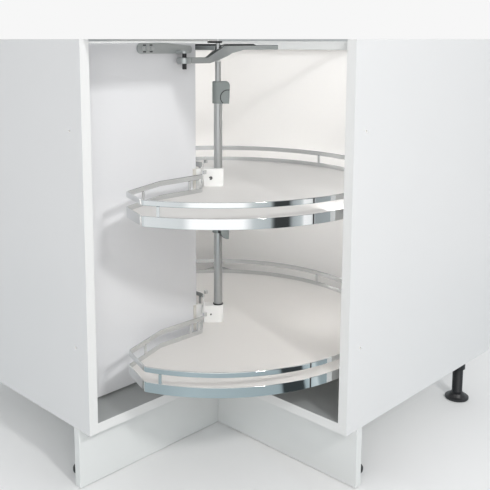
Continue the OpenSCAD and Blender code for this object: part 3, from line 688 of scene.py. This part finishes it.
studio = {
    "floorHalf": 14.0,
    "floorFinish": dict(color=(0.80, 0.80, 0.80), gloss=0.55, tone=0.01, scale=40, bump=0.0),
    "sky": {"strength": 0.785, "lit": (0.98, 0.99, 1.0), "seen": (0.93, 0.93, 0.93),
            "tint": (0.96, 0.99, 1.02)},
    "aim": (0, 0, 0.45),
    "lamps": {
        "keyLamp": dict(azimuth=-17, tilt=32, distance=3.0, size=0.28, power=28.5,
                        color=(1.0, 0.995, 0.985)),
        "frontLamp": dict(azimuth=-45, tilt=22, distance=2.6, size=1.4, power=14,
                          color=(1.0, 0.99, 0.98)),
        "leftLamp": dict(azimuth=-68, tilt=4, distance=2.6, size=1.0, power=2.2,
                         color=(1.0, 0.99, 0.98)),
    },
    # Strips inside the two legs of the unit light its walls; only scattered light shows them. Their places
    # are from the post's foot
    "stripWidth": 0.06,
    "stripSpread": 130,
    "strips": {
        "rightStrip": dict(place=(0.328, -0.005, 0.47), height=0.24, azimuth=128, rise=10, power=0.95),
        "rightTopStrip": dict(place=(0.328, -0.005, 0.72), height=0.14, azimuth=128, rise=4,
                              power=0.25),
        "leftStrip": dict(place=(-0.19, -0.335, 0.40), height=0.20, azimuth=145, rise=0, power=2.0),
    },
    "flag": {"height": 0.846, "back": -0.006, "front": 0.15, "reach": 0.37},
    "cards": {"radius": 1.7, "height": 1.3, "steps": 96, "floorRise": 0.0015},
}


def makeFloor(half, finish):
    mesh = bpy.data.meshes.new("floor")
    mesh.from_pydata([(-half, -half, 0), (half, -half, 0), (half, half, 0), (-half, half, 0)], [],
                     [(0, 1, 2, 3)])
    mesh.materials.append(makeMaterial("pale_floor", **finish))
    linked("floor", mesh)


def makeLamp(name, azimuth, tilt, distance, size, power, color):
    data = bpy.data.lights.new(name, "AREA")
    data.shape, data.size, data.energy, data.color = "DISK", size, power, color
    lamp = linked(name, data)
    turn, rise = math.radians(azimuth), math.radians(tilt)
    out = Vector((math.cos(rise) * math.cos(turn), math.cos(rise) * math.sin(turn), math.sin(rise)))
    lamp.location = postAxis + Vector(studio["aim"]) + out * distance
    lamp.rotation_euler = out.to_track_quat("Z", "Y").to_euler()


def makeStrip(name, place, height, azimuth, rise, power):
    data = bpy.data.lights.new(name, "AREA")
    data.shape, data.size, data.size_y, data.energy = "RECTANGLE", studio["stripWidth"], height, power
    data.spread = math.radians(studio["stripSpread"])
    strip = linked(name, data)
    turn, up = math.radians(azimuth), math.radians(rise)
    strip.location = postAxis + Vector(place)
    aim = Vector((math.cos(turn) * math.cos(up), math.sin(turn) * math.cos(up), math.sin(up)))
    strip.rotation_euler = (-aim).to_track_quat("Z", "Y").to_euler()
    strip.visible_camera = strip.visible_glossy = False


# A flag over the front edge keeps the lamps off the top of the fronts
def makeFlag(height, back, front, reach):
    corners = [(back, -reach), (front, -reach), (front, -front), (reach, -front), (reach, -back),
               (back, -back)]
    mesh = bpy.data.meshes.new("flag")
    mesh.from_pydata([(postAxis.x + x, postAxis.y + y, height) for x, y in corners], [], [range(6)])
    mesh.materials.append(materials["black_plastic"])
    flag = linked("flag", mesh)
    flag.visible_camera = flag.visible_diffuse = flag.visible_glossy = flag.visible_transmission = False


# What the metal mirrors: a ring of cards round the unit and the floor inside it, in bands by azimuth
cardBands = [
    (-180, 0.85), (-93, 0.85), (-90, 1.0), (-65, 0.92), (-60, 1.40), (-31, 1.40), (-25, 0.76), (-15, 0.64),
    (-13.5, 0.06), (-3.4, 0.06), (-2.4, 0.50), (4, 0.72), (5.5, 1.22), (10.5, 1.14), (12, 0.42), (26, 0.50),
    (60, 0.85), (180, 0.85),
]
floorBands = [
    (-180, 0.52), (-75, 0.52), (-60, 0.62), (-35, 0.56), (-13, 0.50), (-11.5, 0.06), (0.3, 0.06),
    (1.5, 0.56), (9, 0.85), (10, 0.42), (40, 0.55), (180, 0.52),
]
# The sky that the metal mirrors, from straight down to straight up, with its grey bands
skyBands = [
    (0.0, 0.75), (0.46, 0.62), (0.50, 0.40), (0.58, 0.50), (0.64, 0.60), (0.70, 0.13), (0.86, 0.13),
    (0.92, 0.60), (1.0, 0.90),
]
cardTint = {"below": 1.2, "most": 0.6}      # cards darker than this are a cool grey, up to this much


def cardMaterial(name, bands, cool):
    material = bpy.data.materials.new(name)
    material.use_nodes = True
    nodes, links = material.node_tree.nodes, material.node_tree.links
    nodes.clear()
    out, shine = nodes.new("ShaderNodeOutputMaterial"), nodes.new("ShaderNodeEmission")
    place, parts = nodes.new("ShaderNodeTexCoord"), nodes.new("ShaderNodeSeparateXYZ")
    links.new(place.outputs["Object"], parts.inputs[0])
    turn = mathNode(nodes, "ARCTAN2")
    links.new(parts.outputs["Y"], turn.inputs[0])
    links.new(parts.outputs["X"], turn.inputs[1])
    share = mathNode(nodes, "MULTIPLY_ADD", b=0.5 / math.pi)
    share.inputs[2].default_value = 0.5
    links.new(turn.outputs[0], share.inputs[0])
    ramp = nodes.new("ShaderNodeValToRGB")
    stops = ramp.color_ramp.elements
    while len(stops) > 1:
        stops.remove(stops[-1])
    for i, (azimuth, value) in enumerate(bands):
        stop = stops[0] if i == 0 else stops.new(azimuth / 360 + 0.5)
        stop.position = azimuth / 360 + 0.5
        tint = min(max(cardTint["below"] - value, 0), cardTint["most"])
        stop.color = (value * (1 - cool * tint), value, value * (1 + cool / 3 * tint), 1)
    links.new(share.outputs[0], ramp.inputs["Fac"])
    links.new(ramp.outputs["Color"], shine.inputs["Color"])
    links.new(shine.outputs[0], out.inputs["Surface"])
    return material


def makeCards(radius, height, steps, floorRise):
    turns = [2 * math.pi * i / steps for i in range(steps)]
    rim = [(radius * math.cos(a), radius * math.sin(a)) for a in turns]
    ring, floor = bpy.data.meshes.new("cardRing"), bpy.data.meshes.new("cardFloor")
    ring.from_pydata([(x, y, z) for z in (0.0, height) for x, y in rim], [],
                     [(i, (i + 1) % steps, steps + (i + 1) % steps, steps + i) for i in range(steps)])
    floor.from_pydata([(x, y, floorRise) for x, y in rim], [], [range(steps)])
    for name, mesh, material in (("cardRing", ring, cardMaterial("card_bands", cardBands, cool=0.14)),
                                 ("cardFloor", floor, cardMaterial("floor_bands", floorBands, cool=0.30))):
        mesh.materials.append(material)
        card = linked(name, mesh)
        card.location = postAxis
        card.visible_camera = card.visible_diffuse = card.visible_shadow = card.visible_transmission = False


# White for the eye, grey bands for metal, and even light for the rest
def makeWorld(strength, lit, seen, tint):
    world = bpy.data.worlds.new("studio")
    bpy.context.scene.world = world
    world.use_nodes = True
    nodes, links = world.node_tree.nodes, world.node_tree.links
    nodes.clear()
    out = nodes.new("ShaderNodeOutputWorld")
    evenLight, backdrop, mirrored = [nodes.new("ShaderNodeBackground") for _ in range(3)]
    evenLight.inputs["Color"].default_value = (*lit, 1)
    evenLight.inputs["Strength"].default_value = strength
    backdrop.inputs["Color"].default_value = (*seen, 1)
    place = nodes.new("ShaderNodeTexCoord")
    parts = nodes.new("ShaderNodeSeparateXYZ")
    links.new(place.outputs["Generated"], parts.inputs[0])
    ramp = nodes.new("ShaderNodeValToRGB")
    for position, value in skyBands:
        stop = ramp.color_ramp.elements.new(position)
        stop.color = (*(value * share for share in tint), 1)
    raised = mathNode(nodes, "MULTIPLY_ADD", b=0.5)
    raised.inputs[2].default_value = 0.5
    links.new(parts.outputs["Z"], raised.inputs[0])
    links.new(raised.outputs[0], ramp.inputs["Fac"])
    links.new(ramp.outputs["Color"], mirrored.inputs["Color"])
    path = nodes.new("ShaderNodeLightPath")
    toMirror, toSeen = nodes.new("ShaderNodeMixShader"), nodes.new("ShaderNodeMixShader")
    direct = mathNode(nodes, "MAXIMUM")
    links.new(path.outputs["Is Camera Ray"], direct.inputs[0])
    links.new(path.outputs["Is Transmission Ray"], direct.inputs[1])
    links.new(path.outputs["Is Glossy Ray"], toMirror.inputs[0])
    links.new(evenLight.outputs[0], toMirror.inputs[1])
    links.new(mirrored.outputs[0], toMirror.inputs[2])
    links.new(direct.outputs[0], toSeen.inputs[0])
    links.new(toMirror.outputs[0], toSeen.inputs[1])
    links.new(backdrop.outputs[0], toSeen.inputs[2])
    links.new(toSeen.outputs[0], out.inputs["Surface"])


makeFloor(studio["floorHalf"], studio["floorFinish"])
makeFlag(**studio["flag"])
makeCards(**studio["cards"])
for name, lamp in studio["lamps"].items():
    makeLamp(name, **lamp)
for name, strip in studio["strips"].items():
    makeStrip(name, **strip)
makeWorld(**studio["sky"])
bpy.context.scene.view_settings.view_transform = "Standard"
print("floor and light done")
